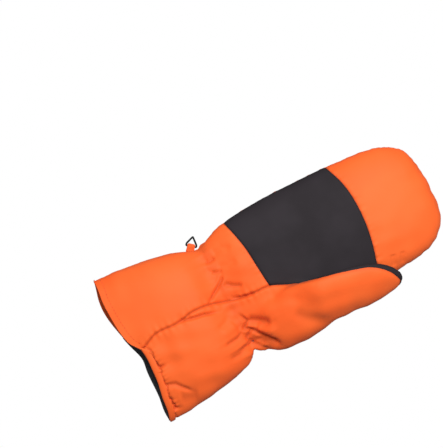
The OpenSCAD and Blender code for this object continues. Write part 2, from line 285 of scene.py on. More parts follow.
def cut(v, base, f, value, where=None):
    """Splits triangles where value changes sign, so that its zero line becomes edges.

    where limits this to triangles with a point for which it is true.
    """
    value = np.where(np.abs(value) < 1e-4, 1e-4, value)
    s = value > 0
    tri = s[f]
    crossing = tri.any(1) & ~tri.all(1)
    if where is not None:
        crossing &= where[f].any(1)
    keep = f[~crossing]
    todo = f[crossing]
    made, new_v, new_b, out = {}, [], [], []

    def point(i, j):
        """The new point where the edge from i to j crosses the line."""
        key = (i, j) if i < j else (j, i)
        if key not in made:
            t = value[i] / (value[i] - value[j])
            made[key] = len(v) + len(new_v)
            new_v.append(v[i] + t * (v[j] - v[i]))
            new_b.append(base[i] + t * (base[j] - base[i]))
        return made[key]

    for a, b, c in todo.tolist():
        while not (s[a] != s[b] and s[a] != s[c]):
            a, b, c = b, c, a
        p, q = point(a, b), point(a, c)
        out += [(a, p, q), (p, b, c), (p, c, q)]
    if not new_v:
        return v, base, f
    return np.concatenate([v, new_v]), np.concatenate([base, new_b]), np.concatenate([keep, np.array(out)])


# ---------------------------------------------------------------- the outer fabric

# how big the quads of the fabric are
VOXEL = 1.9
# how many points go around the body and around the thumb before they become one mesh
BODY_SIDES, THUMB_SIDES = 120, 64
# how many frames the cloth simulation runs, and the most that it may move a point
SETTLE_FRAMES = 36
SETTLE_MOST = 7


def outer_fabric():
    """The body and the thumb as one even mesh of quads: its points and faces."""
    a = np.linspace(0, 2 * np.pi, BODY_SIDES, endpoint=False) + 0.01
    xs = np.concatenate([np.linspace(-174, 140, 110), np.linspace(142, 165, 14)])
    v1, f1 = loft_mesh([body_point(np.full(BODY_SIDES, x), a) for x in xs])
    xs = np.concatenate([np.linspace(THUMB_START, 84, 50), np.linspace(86, THUMB_END, 9)])
    b = np.linspace(0, 2 * np.pi, THUMB_SIDES, endpoint=False)
    c, s = np.cos(b), np.sin(b)
    rings = []
    for x in xs:
        mid, half, z, h, tilt = table(THUMB, np.array([x]))[0]
        out = half * np.sign(c) * np.abs(c) ** 0.9
        high = h * np.sign(s) * np.abs(s) ** 0.9
        rings.append(np.stack([np.full(THUMB_SIDES, x), mid + out, z + tilt * out + high], -1))
    v2, f2 = loft_mesh(rings)
    f2 = [tuple(i + len(v1) for i in f) for f in f2]
    ob = new_object("outer_fabric", np.concatenate([v1, v2]), f1 + f2)
    mod = ob.modifiers.new("remesh", "REMESH")
    mod.mode, mod.voxel_size = "VOXEL", VOXEL * MM
    v, f = evaluated(ob)
    drop(ob)
    f = np.array([q for q in f if len(q) == 4])
    n = normals_of(v, f)
    if (n[:, 2] * (v[:, 2] - SEAM_Z)).sum() < 0:
        f = f[:, ::-1]
    edges = edges_of(f)
    crotch = np.exp(-(field_crotch(v) / 4) ** 2) * step(-50, -30, v[:, 0])
    v = relax(v, edges, 4)
    v = relax(v, edges, 10, keep=1 - crotch * step(4, -4, v[:, 0] - 30))
    return v, f


def seam_closeness(p, width):
    """1 on a seam line, fading to 0 at width from it."""
    palm = step(-3, 3, field_side(p))
    d = np.abs(field_side(p))
    d = np.minimum(d, np.where(palm > 0.5, np.abs(field_thumb_line(p)), 99))
    inner = (palm > 0.5) & (field_thumb_line(p) > 0) & (field_crotch(p) < 0)
    d = np.minimum(d, np.where(inner, np.abs(field_near(p)), 99))
    d = np.minimum(d, np.where(inner, np.abs(field_far(p)), 99))
    return 1 - step(0, width, d)


def flat_pattern(v):
    """The fabric as it was cut: wider and longer than the sewn mitten, most of all at the elastic."""
    x, y, _ = v.T
    gather = (np.exp(-((x - ELASTIC_X) / 17) ** 2) * 0.3 + 0.05 * np.exp(-((x + 20) / 30) ** 2)
              + 0.03 * step(100, 130, x) + 0.03 * step(-80, -100, x))
    flat = v.copy()
    flat[:, 1] += (y - 3) * gather
    flat[:, 0] += 0.04 * (x - 20) * step(-170, -100, x)
    return flat


def held(v):
    """How firmly each point stays in place: 1 doesn't move."""
    x, _, z = v.T
    elastic = np.exp(-((x - ELASTIC_X) / 2.2) ** 2)
    patch = (field_near(v) > 0) & (field_far(v) < 0) & (field_thumb_line(v) > 0) & (z > SEAM_Z)
    on_table, hem_end, tip = step(4, 1.2, z), step(-144, -149, x), step(150, 160, x) * 0.5
    return np.maximum.reduce([0.9 * seam_closeness(v, 3.5), on_table, hem_end, 0.55 * elastic, tip,
                              0.12 + 0 * x, 0.85 * patch])


def settle(v, f):
    """Lets the fabric buckle into gathers around a little air."""
    ob = new_object("settling", v, f)
    ob.shape_key_add(name="Basis")
    key = ob.shape_key_add(name="flat")
    key.data.foreach_set("co", (flat_pattern(v) * MM).ravel())
    pin = held(v)
    group = ob.vertex_groups.new(name="pin")
    for w in np.unique(np.round(pin, 2)):
        group.add(np.nonzero(np.abs(pin - w) < 0.0051)[0].tolist(), float(w), "REPLACE")
    mod = ob.modifiers.new("cloth", "CLOTH")
    st = mod.settings
    st.rest_shape_key = key
    st.quality = 6
    st.mass = 0.25
    st.air_damping = 3
    st.tension_stiffness = st.compression_stiffness = 25
    st.shear_stiffness = 12
    st.bending_stiffness = 2.5
    st.tension_damping = st.compression_damping = 15
    st.vertex_group_mass = "pin"
    st.pin_stiffness = 2.0
    st.use_pressure = True
    st.uniform_pressure_force = 1.2
    st.effector_weights.gravity = 0
    mod.collision_settings.use_collision = False
    scene = bpy.context.scene
    scene.frame_start, scene.frame_end = 1, SETTLE_FRAMES
    mod.point_cache.frame_start, mod.point_cache.frame_end = 1, SETTLE_FRAMES
    for fr in range(1, SETTLE_FRAMES + 1):
        scene.frame_set(fr)
    out, _ = evaluated(ob)
    scene.frame_set(1)
    drop(ob)
    move = out - v
    size = np.linalg.norm(move, axis=1, keepdims=True).clip(1e-9)
    return v + move * np.minimum(1, SETTLE_MOST / size)


def subdivided(v, f, also):
    """One smooth subdivision of the quads. also is a second set of points on the same faces."""
    out = []
    for p in (v, also):
        ob = new_object("finer", p, f)
        mod = ob.modifiers.new("s", "SUBSURF")
        mod.levels = mod.render_levels = 1
        pv, pf = evaluated(ob)
        drop(ob)
        out.append(pv)
    return out[0], out[1], np.array(pf)


def triangles(f):
    """Each quad as two triangles."""
    return np.concatenate([f[:, [0, 1, 2]], f[:, [0, 2, 3]]])


def along(points, p):
    """Distance in plan from each point to a line, and where along the line that is, from 0 to 1."""
    q = np.array(points, float)
    best, where, run = np.full(len(p), 1e9), np.zeros(len(p)), 0.0
    total = np.linalg.norm(np.diff(q, axis=0), axis=1).sum()
    for a, b in zip(q[:-1], q[1:]):
        ab = b - a
        length = np.linalg.norm(ab)
        t = np.clip(((p[:, :2] - a) @ ab) / length ** 2, 0, 1)
        d = np.linalg.norm(p[:, :2] - (a + t[:, None] * ab), axis=1)
        near = d < best
        best[near], where[near] = d[near], ((run + t * length) / total)[near]
        run += length
    return best, where


# creases on the palm side: depth, width, and the line each follows. A depth below 0 is a ridge.
CREASES = [
    (2.3, 1.7, [(-53, -14), (-48.5, -25), (-54, -29.8), (-49.4, -34), (-55.2, -40), (-54, -46),
                (-56.5, -53)]),
    (2.5, 2.6, [(-53, -30.5), (-48, -35), (-41.5, -44), (-35, -54), (-31, -61)]),
    (2.0, 2.2, [(-56, -46), (-50, -52), (-42, -60)]),
    (3.1, 4.2, [(-49, -24), (-42, -28), (-35, -33), (-28, -36)]),
    (3.2, 5.0, [(-55, -39), (-47, -47), (-39, -54), (-29, -61)]),
    (1.2, 2.4, [(-56, -31), (-64, -35), (-78, -36)]),
    (1.3, 3.0, [(-57, -45), (-68, -49), (-80, -49)]),
    (0.9, 3.0, [(-60, -12), (-68, -17), (-76, -19)]),
    (2.0, 1.7, [(-49, 25), (-51.4, 21.2), (-60, 14.5), (-72, 6.5)]),
    (1.8, 2.6, [(-52, 17), (-45, 11), (-35, 6.5)]),
    (1.5, 2.0, [(-57, 31), (-51, 28.5), (-46, 28)]),
    (1.6, 2.2, [(-58, 43), (-54, 41), (-47, 42)]),
    (1.1, 3.6, [(-49, 47), (-38, 48), (-28, 43)]),
    (1.0, 3.6, [(-50, 33), (-40, 30), (-29, 31)]),
    (1.9, 1.7, [(-53, 2.0), (-42.4, -2.4), (-36, -4.0), (-28, -4.4)]),
    (2.4, 1.5, [(-106, 4.8), (-98, 4.0), (-90, 1.9), (-79.6, -0.1), (-66, -5)]),
    (2.1, 1.8, [(-145, -6), (-143.8, -12.5), (-143, -20.7), (-140.7, -24.1), (-132.6, -24.9)]),
    (1.7, 2.2, [(-148, -40), (-135.4, -45), (-130, -52), (-123, -61)]),
    (2.0, 1.7, [(-145.4, -52), (-147, -59.3), (-146.6, -66.7), (-141, -68)]),
    (1.6, 7.0, [(-138, -60), (-130, -62), (-120, -66)]),
    (-1.4, 6.0, [(-59, -23), (-66, -25), (-76, -26)]),
    (-1.6, 5.0, [(-44, -34), (-36, -40), (-28, -48)]),
    (-1.2, 4.0, [(-46, -52), (-40, -56), (-34, -62)]),
    (1.4, 6.0, [(-8, -36), (4, -47), (14, -57), (26, -64)]),
    (0.9, 3.0, [(102, -33), (100.5, -38), (98.5, -46)]),
    (0.8, 2.6, [(112, -35), (109, -41), (107, -47)]),
    (0.9, 4.5, [(-20, -14), (-6, -22), (8, -30)]),
]


def ripple(t, seed, count):
    """A wavy value along t, mostly between -1 and 1, with uneven waves."""
    k = np.random.default_rng(seed)
    out = 0
    for _ in range(6):
        out = out + np.sin(2 * np.pi * (t * count * k.uniform(0.5, 1.6) + k.random()))
    return out / 3.2


def past_stitches(p):
    """Above 0 on the mitten's side of the wavy line of stitches near the hem."""
    return field_hem(p) - 5.8 - 1.4 * ripple(p[:, 1] / 100, 22, 9)


def on_patch_side(p):
    """True on the palm, off the thumb and off the thumb's side of the long seam."""
    return (p[:, 2] > SEAM_Z) & (field_thumb_line(p) > -1) & (field_crotch(p) < 0)


def seam_press(p):
    """How deep the seams and their puckers are pressed in."""
    x, y, z = p.T
    palm = z > SEAM_Z
    # side seam
    away = np.abs(field_side(p))
    press = 1.3 * np.exp(-(away / 1.6) ** 2)
    waves = ripple((x + 0.6 * y) / 100, 3, 6) + 0.5 * ripple((x - 0.7 * y) / 100, 4, 11)
    press += 0.75 * waves * np.exp(-(away / 7) ** 2) * (0.12 + 0.4 * step(88, 120, x) + 0.4 * ~palm)
    # long seam and the thumb's edge
    away = np.where(palm, np.abs(field_thumb_line(p)), 99)
    press += (1.3 * step(10, -20, x) + 0.5) * np.exp(-(away / 1.3) ** 2)
    press += 0.5 * ripple(x / 100, 5, 12) * np.exp(-(away / 6) ** 2) * step(0, -30, x)
    # patch edges, with puckers in the orange fabric beside them
    near, far = field_near(p), field_far(p)
    for line, orange, seed in ((near, near < 0, 7), (far, far > 0, 8)):
        away = np.where(on_patch_side(p), np.abs(line), 99)
        press += 0.8 * np.exp(-(away / 1.1) ** 2)
        press += 0.35 * ripple(y / 100, seed, 14) * np.exp(-(away / 5) ** 2) * orange
    return press


def gather_press(p):
    """The gathers on both sides of the wrist elastic, deeper on the thumb's side."""
    x, y, z = p.T
    palm = z > SEAM_Z
    past = x - ELASTIC_X + 2.5 * ripple(y / 100, 11, 5)
    reach = np.where(past > 0, 20, 15) * (0.6 + 0.5 * ripple(y / 100, 12, 7))
    fold = np.where(palm, ripple(y / 100, 13, 6.5), ripple(y / 100, 15, 10))
    side = np.where(palm, 0.5 + 0.7 * step(5, -30, y), 1.3)
    press = np.where(palm, 1.2, 1.8) * side * fold * np.exp(-(np.abs(past) / np.maximum(reach, 6)) ** 1.6)
    press += (0.5 + 0.5 * ~palm) * np.exp(-(past / 2.6) ** 2)
    # the back lies on the table, so there the folds only stand up into the mitten
    return press + np.where(palm, 0, 1.0 * np.exp(-(past / 13) ** 2) * step(0.6, 0.1, np.abs(y - 3) / 100))


def hem_press(p):
    """The line of stitches near the hem and its puckers, on the thumb's side of the palm."""
    y = p[:, 1]
    past = past_stitches(p)
    line = 0.9 * np.exp(-(past / 0.9) ** 2)
    puckers = 0.5 * ripple(y / 100, 21, 16) * np.exp(-(past / 4.5) ** 2)
    return (line + puckers) * (p[:, 2] > SEAM_Z) * step(1, -6, y)


def crease_press(p, n):
    """The single creases, only where the fabric faces up and isn't on the free thumb."""
    facing_up = step(0.0, 0.45, n[:, 2])
    on_thumb = step(-1, 3, field_crotch(p)) * step(20, 34, p[:, 0])
    press = np.zeros(len(p))
    for depth, width, line in CREASES:
        away, place = along(line, p)
        fade = step(0, 0.18, place) * step(1, 0.72, place) + 0.15
        press += depth * fade * np.exp(-(away / width) ** 2)
    return press * facing_up * (1 - on_thumb) * (p[:, 2] > SEAM_Z)


def wadding_press(p):
    """The soft unevenness of the wadding, weaker under the stiff palm patch."""
    x, y, _ = p.T
    patch = on_patch_side(p) & (field_near(p) > 0) & (field_far(p) < 0)
    return (0.8 * ripple((x + 0.7 * y) / 100, 31, 2.2) * ripple((y - 0.5 * x) / 100, 32, 2.6)
            * (1 - 0.75 * patch))


def dress(v, base, f):
    """Presses seams, puckers, gathers and creases into the settled fabric."""
    n = relax(normals_of(v, f), edges_of(f), 4)
    n /= np.linalg.norm(n, axis=1, keepdims=True).clip(1e-9)
    press = (seam_press(base) + gather_press(base) + hem_press(base) + crease_press(base, n)
             + wadding_press(base))
    v = v - n * press[:, None]
    v[:, 2] = np.maximum(v[:, 2], 0.05)
    return v


def painted_shade(p):
    """The painted shade of a point that lies down in a seam, a crease, the gather or the hem's line of
    stitches, where less light gets in.
    """
    palm = p[:, 2] > SEAM_Z
    free = step(12, 24, p[:, 0])
    away = np.where(palm, np.abs(field_thumb_line(p)), 99)
    out = (0.75 - 0.35 * free) * np.exp(-(away / 1.0) ** 2)
    out = np.maximum(out, 0.6 * np.exp(-(field_side(p) / 1.2) ** 2))
    for line in (field_near(p), field_far(p)):
        out = np.maximum(out, 0.7 * np.exp(-(np.where(on_patch_side(p), line, 99) / 0.9) ** 2))
    # painted shade in the gather beside the elastic
    gather = 0.22 + 0.1 * ripple(p[:, 1] / 100, 17, 5)
    out = np.maximum(out, gather * np.exp(-((p[:, 0] - ELASTIC_X - 4) / 6) ** 2))
    past = past_stitches(p)
    out = np.maximum(out, np.where(palm, 0.6 * np.exp(-(past / 0.9) ** 2) * step(1, -6, p[:, 1]), 0))
    # painted shade along the deeper creases
    for depth, width, line in CREASES:
        if depth > 1.1:
            away, place = along(line, p)
            soft = 1 if width < 4 else 0.65
            deep = min(0.8, 0.3 * depth) * soft * step(0, 0.18, place) * step(1, 0.72, place)
            shade = deep * np.exp(-(away / (0.65 * width)) ** 2)
            out = np.maximum(out, np.where(palm & (away < 9), shade, 0))
    return out


v, f = outer_fabric()
base = v.copy()
settled = settle(v, f)
v, base, quads = subdivided(settled, f, base)
fabric_v, fabric_base, fabric_f = dress(v, base, quads), base, triangles(quads)

# ---------------------------------------------------------------- the fabric cut into its panels

# where the thumb's outer panel takes over from the cuff's thumb side, and where the back is split
THUMB_PANEL_X, BACK_SPLIT_X = -25, 0


def palm_side(p):
    """True on the palm side and a little past the side seam."""
    return field_side(p) > -4


def free_thumb(p):
    """True on the palm side from the root of the thumb on."""
    return (p[:, 0] > 15) & (p[:, 2] > SEAM_Z)


def back_side(p):
    """True on the back and a little past the side seam."""
    return p[:, 2] < SEAM_Z + 3


def field_thumb_panel(p):
    """Above 0 on the fingers' side of the end of the cuff's thumb side panel."""
    return p[:, 0] - THUMB_PANEL_X


def field_back_split(p):
    """Above 0 on the fingers' side of the place where the back is split."""
    return p[:, 0] - BACK_SPLIT_X


# each line that divides the fabric, and where it does
for field, where in ((field_hem, None), (field_side, None), (field_thumb_line, palm_side),
                     (field_near, palm_side), (field_far, palm_side), (field_crotch, free_thumb),
                     (field_thumb_panel, None), (field_back_split, back_side)):
    allowed = None if where is None else where(fabric_base)
    fabric_v, fabric_base, fabric_f = cut(fabric_v, fabric_base, fabric_f, field(fabric_base), allowed)

smooth_n = normals_of(fabric_v, fabric_f)
centres = fabric_base[fabric_f].mean(1)
x = centres[:, 0]
kept = field_hem(centres) > 0
back = kept & (field_side(centres) <= 0)
palm = field_side(centres) > 0
hand_side = palm & (field_thumb_line(centres) > 0)
thumb_side = kept & palm & (field_thumb_line(centres) < 0)
thumb = (field_crotch(centres) > 0) & (x > 20)
near, far = field_near(centres), field_far(centres)
PANELS = {
    "back_rear": back & (x < BACK_SPLIT_X),
    "back_front": back & (x >= BACK_SPLIT_X),
    "palm_heel_panel": kept & hand_side & (near < 0),
    "cuff_thumb_side_panel": thumb_side & (x < THUMB_PANEL_X),
    "thumb_outer_panel": thumb_side & (x >= THUMB_PANEL_X),
    "thumb_inner_panel": hand_side & thumb & (near > 0),
    "palm_patch_panel": hand_side & ~thumb & (near > 0) & (far < 0),
    "fingertip_panel": hand_side & ~thumb & (far > 0),
}
FABRIC_THICKNESS = 0.7


def panel(name, mask):
    """A panel of the outer fabric as a thin closed piece, with normals shared along the seams."""
    tri = fabric_f[mask]
    used, idx = np.unique(tri, return_inverse=True)
    tri = idx.reshape(-1, 3)
    p, n = fabric_v[used], smooth_n[used]
    inner = p - n * FABRIC_THICKNESS
    sides = np.concatenate([tri[:, [0, 1]], tri[:, [1, 2]], tri[:, [2, 0]]])
    _, first, count = np.unique(np.sort(sides, axis=1), axis=0, return_index=True, return_counts=True)
    start, end = sides[first[count == 1]].T
    m = len(p)
    rims = np.concatenate([np.stack([end, start, start + m], 1), np.stack([end, start + m, end + m], 1)])
    faces = np.concatenate([tri, tri[:, ::-1] + m, rims])
    me = bpy.data.meshes.new(name)
    points = np.concatenate([p, inner]) * MM
    me.vertices.add(len(points))
    me.vertices.foreach_set("co", points.ravel())
    me.loops.add(faces.size)
    me.loops.foreach_set("vertex_index", faces.ravel().astype(np.int32))
    me.polygons.add(len(faces))
    me.polygons.foreach_set("loop_start", np.arange(0, faces.size, 3, dtype=np.int32))
    me.update(calc_edges=True)
    me.validate()
    me.shade_smooth()
    n_corner = np.concatenate([n[tri], -n[tri[:, ::-1]], n[rims % m]]).reshape(-1, 3)
    me.normals_split_custom_set(n_corner.tolist())
    # painted shade in seams and creases, kept on the points for the cloth's colour
    dark = me.attributes.new("painted_shade", "FLOAT", "POINT")
    dark.data.foreach_set("value", np.tile(painted_shade(fabric_base[used]), 2).astype(np.float32))
    ob = bpy.data.objects.new(name, me)
    bpy.context.scene.collection.objects.link(ob)
    return ob


made = {name: panel(name, mask) for name, mask in PANELS.items()}

# ---------------------------------------------------------------- materials

def material(name, color, rough, sheen):
    """A material, its node tree and its surface node."""
    made_of = bpy.data.materials.new(name)
    made_of.use_nodes = True
    tree = made_of.node_tree
    surface = tree.nodes["Principled BSDF"]
    surface.inputs["Base Color"].default_value = (*color, 1)
    surface.inputs["Roughness"].default_value = rough
    surface.inputs["Sheen Weight"].default_value = sheen
    surface.inputs["Sheen Roughness"].default_value = 0.5
    surface.inputs["Specular IOR Level"].default_value = 0.3
    return made_of, tree, surface


def node(tree, kind, **inputs):
    """A node with these input values."""
    n = tree.nodes.new(kind)
    for k, val in inputs.items():
        k = k.replace("_", " ")
        n.inputs[k].default_value = val
    return n


def maths(tree, op, *values):
    """The result of a maths node on numbers or sockets."""
    n = tree.nodes.new("ShaderNodeMath")
    n.operation = op
    for i, val in enumerate(values):
        if isinstance(val, (int, float)):
            n.inputs[i].default_value = val
        else:
            tree.links.new(val, n.inputs[i])
    return n.outputs[0]


def band(tree, value, low, high):
    """1 between low and high."""
    above, below = maths(tree, "GREATER_THAN", value, low), maths(tree, "LESS_THAN", value, high)
    return maths(tree, "MULTIPLY", above, below)


def box(tree, x, y, x_range, y_range):
    """1 inside a rectangle."""
    return maths(tree, "MULTIPLY", band(tree, x, *x_range), band(tree, y, *y_range))


def weave(tree, surface, pitch, depth):
    """Fine over and under threads as a bump."""
    tex = tree.nodes.new("ShaderNodeTexCoord")
    bands = []
    for axis in ("X", "Y"):
        wave = node(tree, "ShaderNodeTexWave", Scale=math.pi / 10 / pitch * 2, Distortion=0.4, Detail=1.0)
        wave.bands_direction = axis
        tree.links.new(tex.outputs["Object"], wave.inputs["Vector"])
        bands.append(wave.outputs["Fac"])
    soft = node(tree, "ShaderNodeTexNoise", Scale=260.0, Detail=3.0)
    tree.links.new(tex.outputs["Object"], soft.inputs["Vector"])
    height = maths(tree, "ADD", maths(tree, "MULTIPLY", *bands), soft.outputs["Fac"])
    bump = node(tree, "ShaderNodeBump", Strength=0.35, Distance=depth)
    tree.links.new(height, bump.inputs["Height"])
    tree.links.new(bump.outputs["Normal"], surface.inputs["Normal"])
    return tex


def mottled(tree, surface, tex, low, high, scale):
    """A colour that varies softly between low and high, with painted shade in seams and creases."""
    noise = node(tree, "ShaderNodeTexNoise", Scale=scale, Detail=2.0, Roughness=0.5)
    tree.links.new(tex.outputs["Object"], noise.inputs["Vector"])
    ramp = tree.nodes.new("ShaderNodeValToRGB")
    ramp.color_ramp.elements[0].position, ramp.color_ramp.elements[0].color = 0.35, (*low, 1)
    ramp.color_ramp.elements[1].position, ramp.color_ramp.elements[1].color = 0.65, (*high, 1)
    tree.links.new(noise.outputs["Fac"], ramp.inputs["Fac"])
    # painted shade: where the attribute is high, the colour goes towards 0.45 of the lowest colour
    dark = tree.nodes.new("ShaderNodeAttribute")
    dark.attribute_name = "painted_shade"
    mix = tree.nodes.new("ShaderNodeMix")
    mix.data_type = "RGBA"
    mix.inputs[7].default_value = (*(0.45 * v for v in low), 1)
    tree.links.new(dark.outputs["Fac"], mix.inputs[0])
    tree.links.new(ramp.outputs["Color"], mix.inputs[6])
    tree.links.new(mix.outputs[2], surface.inputs["Base Color"])
    return mix


def cloth(name, color, rough, sheen, pitch, depth, low, high, scale):
    """A woven material, its node tree, its surface node, its texture place and its colour node."""
    made_of, tree, surface = material(name, color, rough, sheen)
    tex = weave(tree, surface, pitch, depth)
    return made_of, tree, surface, tex, mottled(tree, surface, tex, low, high, scale)


ORANGE, ORANGE_LOW, ORANGE_HIGH = (0.96, 0.14, 0.02), (0.95, 0.121, 0.016), (0.98, 0.147, 0.0235)
# colour, roughness, sheen, thread pitch and depth in metres, lowest and highest colour, how fine they vary
POLYESTER = (ORANGE, 0.66, 0.04, 0.0006, 0.00006, ORANGE_LOW, ORANGE_HIGH, 16)
orange = cloth("orange_polyester", *POLYESTER)[0]
charcoal, _, surface, _, _ = cloth("charcoal_palm", (0.024, 0.020, 0.023), 0.8, 0.0, 0.0007, 0.00005,
                                   (0.021, 0.017, 0.020), (0.027, 0.022, 0.026), 30)
surface.inputs["Specular IOR Level"].default_value = 0.2
fleece = cloth("fleece_lining", (0.022, 0.023, 0.027), 0.95, 0.4, 0.0012, 0.0004,
               (0.03, 0.032, 0.037), (0.06, 0.062, 0.07), 400)[0]
webbing = cloth("orange_webbing", ORANGE, 0.75, 0.1, 0.0013, 0.0002,
                (0.84, 0.09, 0.012), ORANGE_HIGH, 700)[0]
thread = cloth("orange_thread", (0.85, 0.1, 0.014), 0.55, 0.1, 0.0003, 0.00003,
               (0.72, 0.075, 0.01), (0.88, 0.11, 0.016), 900)[0]


def grained_plastic(name):
    """The hook's plastic, with a fine grain."""
    made_of, tree, surface = material(name, (0.006, 0.006, 0.007), 0.42, 0.0)
    tex = tree.nodes.new("ShaderNodeTexCoord")
    mottled(tree, surface, tex, (0.005, 0.005, 0.006), (0.009, 0.009, 0.010), 500)
    grain = node(tree, "ShaderNodeTexNoise", Scale=1500.0, Detail=2.0)
    tree.links.new(tex.outputs["Object"], grain.inputs["Vector"])
    bump = node(tree, "ShaderNodeBump", Strength=0.3, Distance=0.00004)
    tree.links.new(grain.outputs["Fac"], bump.inputs["Height"])
    tree.links.new(bump.outputs["Normal"], surface.inputs["Normal"])
    return made_of


plastic = grained_plastic("hook_plastic")

# plain marks on the back, in metres: a row of dots over a line on the fingers, and two bars on the cuff
DOT_PITCH, DOT_X = 0.009, 0.072
# the square of a dot's radius, in pitches
DOT_SIZE = 0.075
ROW_Y = (-0.0145, 0.0305)
LINE_X = (0.0625, 0.0645)
LONG_BAR, SHORT_BAR = ((-0.128, -0.122), (-0.012, 0.014)), ((-0.118, -0.1155), (-0.012, 0.006))
MARK_COLOUR = (0.03, 0.028, 0.03, 1)


def marked_cloth(name):
    """The orange fabric with the plain marks."""
    made_of, tree, surface, tex, plain = cloth(name, *POLYESTER)
    xyz = tree.nodes.new("ShaderNodeSeparateXYZ")
    tree.links.new(tex.outputs["Object"], xyz.inputs[0])
    x, y = xyz.outputs["X"], xyz.outputs["Y"]
    row = maths(tree, "DIVIDE", maths(tree, "SUBTRACT", y, ROW_Y[0]), DOT_PITCH)
    along_row = maths(tree, "SUBTRACT", maths(tree, "FRACT", row), 0.5)
    across = maths(tree, "DIVIDE", maths(tree, "SUBTRACT", x, DOT_X), DOT_PITCH)
    from_dot = maths(tree, "ADD", *(maths(tree, "MULTIPLY", way, way) for way in (along_row, across)))
    dots = maths(tree, "MULTIPLY", maths(tree, "LESS_THAN", from_dot, DOT_SIZE), band(tree, y, *ROW_Y))
    line = box(tree, x, y, LINE_X, ROW_Y)
    bars = maths(tree, "MAXIMUM", box(tree, x, y, *LONG_BAR), box(tree, x, y, *SHORT_BAR))
    mark = maths(tree, "MAXIMUM", maths(tree, "MAXIMUM", dots, line), bars)
    mix = tree.nodes.new("ShaderNodeMix")
    mix.data_type = "RGBA"
    tree.links.new(mark, mix.inputs[0])
    tree.links.new(plain.outputs[2], mix.inputs[6])
    mix.inputs[7].default_value = MARK_COLOUR
    tree.links.new(mix.outputs[2], surface.inputs["Base Color"])
    return made_of


marked = marked_cloth("orange_polyester_marked")

for name, ob in made.items():
    dark = name in ("palm_patch_panel", "thumb_inner_panel")
    ob.data.materials.append(charcoal if dark else marked if name.startswith("back") else orange)

# ---------------------------------------------------------------- the turned hem

# place along the mitten near the hem where the cuff's width is read, and how many points go around it
HEM_X, RING_SIDES = -157.0, 180
# the strip outside, as a share of its width, and its depth
STRIP = [(1.0, 0.1), (0.9, -0.25), (0.6, -0.45), (0.25, -0.4)]
# the fold and the facing, as a distance in from the hem, and the depth
FOLD = [(-0.25, -0.1), (-0.6, 0.5), (-0.35, 1.3), (0.6, 1.9), (3, 2.6), (7, 3.4), (14, 4.6)]
ring = np.linspace(0, 2 * np.pi, RING_SIDES, endpoint=False) + 0.0087
y_ring = body_point(np.full(RING_SIDES, HEM_X), ring)[:, 1]
on_palm = np.sin(ring) > 0
# 1 on the thumb's half, where the hem is puckered and the lining comes up to it
thumb_half = np.where(on_palm, step(2, -6, y_ring), step(26, 14, y_ring))


def hem_x(y, top):
    """Where the hem lies for each place across the mitten, on the palm side where top is true."""
    return np.where(top, table(PALM_HEM, y), table(BACK_HEM, y))


def inner_ring(offset, depth):
    """Points around the cuff at this distance in from the hem and this depth below the outside."""
    return body_point(hem_x(y_ring, on_palm) + offset, ring, depth)


def hem_fold():
    """The hem's fabric from its outer edge, around the fold and a little way into the cuff."""
    strip = 0.8 + 4.6 * thumb_half * on_palm
    pucker = 0.35 * ripple(y_ring / 100, 22, 13) * thumb_half * on_palm
    hidden = 0.9 * ~on_palm
    rings = []
    for share, depth in STRIP:
        rings.append(inner_ring(strip * share + pucker * (share > 0.8), depth))
    for offset, depth in FOLD:
        rings.append(inner_ring(offset + hidden, depth - max(0, depth - 1.1) * thumb_half * ~on_palm))
    return new_object("hem_fold", *loft_mesh(rings, cap=False))


hem = hem_fold()
hem.data.materials.append(orange)

# ---------------------------------------------------------------- the fleece lining

LINING_DEPTH = 7.6


def lining_of_cuff():
    """The lining from the hem to the middle of the mitten, where the front piece goes on."""
    facing = 1 - thumb_half
    start = hem_x(y_ring, on_palm) + np.where(on_palm, 1 + 12 * facing, -0.5 + 13.5 * facing)
    rim = np.where(on_palm, 1.6 + facing, 1.3 + 1.3 * facing)
    rings = []
    for t in np.linspace(0, 1, 60):
        xs = start * (1 - t)
        wave = 0.5 * ripple((y_ring + xs) / 100, 41, 6)
        depth = rim + (LINING_DEPTH - rim) * step(-0.03, 0.1, t) * (t > 0) + wave * (t > 0.02)
        rings.append(body_point(xs, ring, depth))
    return new_object("lining_rear", *loft_mesh(rings, cap=False))


def lining_of_fingers():
    """The lining from the middle of the mitten to the fingertips, closed there."""
    xs = np.concatenate([np.linspace(0, 140, 40), np.linspace(142, 165, 12)])
    v, f = loft_mesh([body_point(np.full(RING_SIDES, x), ring, LINING_DEPTH) for x in xs], cap=False)
    f.append(tuple(len(v) - RING_SIDES + i for i in range(RING_SIDES)))
    return new_object("lining_front", v, f)


lining_rear = lining_of_cuff()
lining_rear.data.materials.append(fleece)
lining_front = lining_of_fingers()
lining_front.data.materials.append(fleece)

# ---------------------------------------------------------------- the pairing hook and its loop

# where the hook hangs in its loop, which way the loop sticks out, and how far the hook droops
PIVOT, UP = np.array([-62.4, 61.9, 8.5]), np.array([0, 0, 1.0])
TURN, DROOP = math.radians(50), math.radians(36)
out_way = np.array([math.cos(TURN), math.sin(TURN), 0.0])
hook_way = np.append(out_way[:2] * math.cos(DROOP), -math.sin(DROOP))
bar_way = np.array([-math.sin(TURN), math.cos(TURN), 0.0])
# the hook's outline, away from its bar and along its bar, and the loop: place, half width, half height
HOOK_CORNERS = [(0, -4.9), (2.2, -4.9), (11.4, 0.4), (2.6, 4.9), (0, 4.9)]
HOOK_RADIUS, HOOK_CORNER = 0.9, 0.9
LOOP = [(-6.0, 4.0, 1.1), (-4.0, 4.0, 1.2), (-2.2, 3.8, 1.35), (-1.0, 3.8, 1.75), (0.2, 3.9, 1.85),
        (1.2, 3.8, 1.6), (2.0, 3.4, 1.1), (2.5, 2.6, 0.4)]


